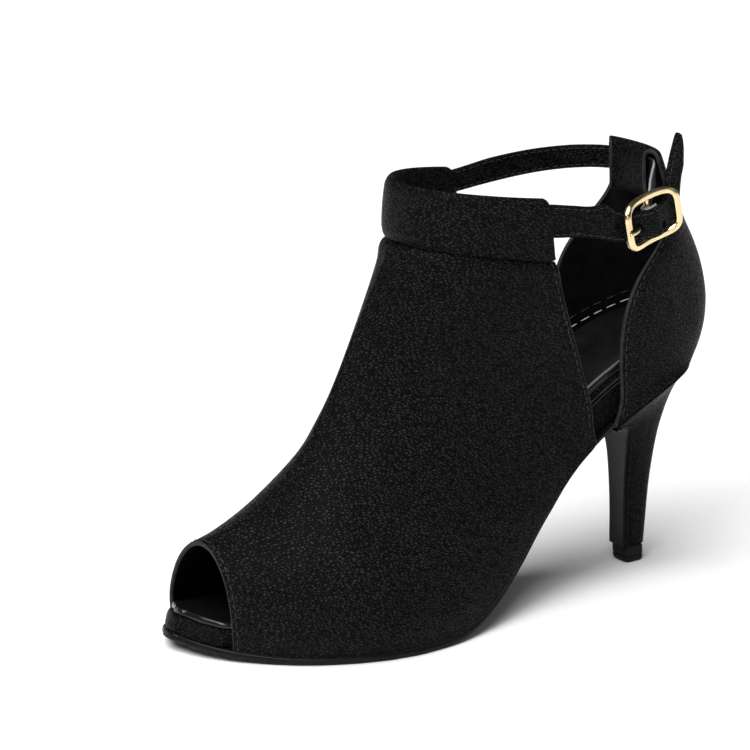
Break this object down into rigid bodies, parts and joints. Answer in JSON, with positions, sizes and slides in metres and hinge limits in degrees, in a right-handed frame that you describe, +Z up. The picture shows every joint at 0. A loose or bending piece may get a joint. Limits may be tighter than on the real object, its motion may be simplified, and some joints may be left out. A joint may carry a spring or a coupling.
{
  "type": "ankle boot sandal",
  "caption": "Left ankle boot sandal with open toe, side cut-outs, buckled ankle strap and tall slim heel.",
  "frame": {"origin": "centre of the heel tip's ground face", "axes": "+X along the shoe towards the toe, +Y to the outer (buckle) side, +Z up"},
  "size_m": [0.2298, 0.0865, 0.1768],
  "materials": {
    "grain_leather": "black fine-grained, satin",
    "smooth_sole": "black smooth",
    "gloss_lining": "black glossy lining",
    "elastic_web": "dark grey woven, white edges",
    "gold_metal": "polished pale gold",
    "tip_rubber": "black matt"
  },
  "bodies": {
    "root": {"outsole": "smooth_sole", "midsole": "grain_leather", "insole": "gloss_lining", "vamp": "grain_leather", "cuff": "grain_leather", "counter": "grain_leather", "heel": "grain_leather", "breast_cover": "smooth_sole", "top_piece": "tip_rubber", "strap_front": "grain_leather", "strap_back": "grain_leather", "elastic_loop": "elastic_web", "buckle_frame": "gold_metal", "buckle_prong": "gold_metal"}
  },
  "joints": []
}
